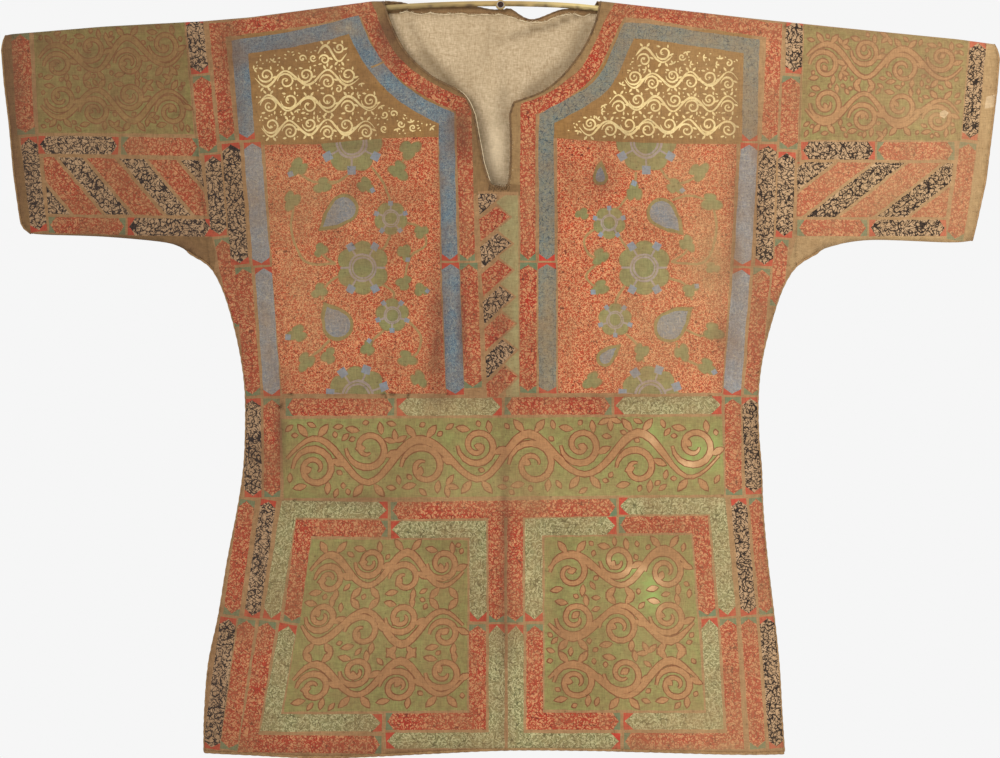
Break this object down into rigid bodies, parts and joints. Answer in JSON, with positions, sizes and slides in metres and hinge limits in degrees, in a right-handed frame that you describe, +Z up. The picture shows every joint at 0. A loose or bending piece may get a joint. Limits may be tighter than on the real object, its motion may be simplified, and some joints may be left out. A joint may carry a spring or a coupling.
{
  "type": "talismanic shirt on a wooden hanging rod",
  "caption": "Short-sleeved, T-shaped shirt of painted cotton with a linen body lining, hanging flat on a thin arched wooden rod that a wall peg carries.",
  "frame": {"origin": "on the wall peg's axis, in the middle plane between the front and the back of the hanging shirt", "axes": "+X along the sleeves to the right as seen from the front, -Y out of the painted front, +Y towards the wall, +Z up"},
  "size_m": [0.9926, 0.034, 0.7567],
  "materials": {
    "painted_cotton": "sized cotton painted in red, olive green, blue, black and gold bands on a tan ground, matte",
    "linen_lining": "plain-weave undyed linen, matte",
    "rod_wood": "pale smooth wood, satin",
    "peg_iron": "dark iron, dull"
  },
  "bodies": {
    "root": {"front": "painted_cotton", "back": "painted_cotton", "sleeve_left": "painted_cotton", "sleeve_right": "painted_cotton", "lining_front": "linen_lining", "lining_back": "linen_lining", "hanging_rod": "rod_wood", "wall_peg": "peg_iron"}
  },
  "joints": []
}
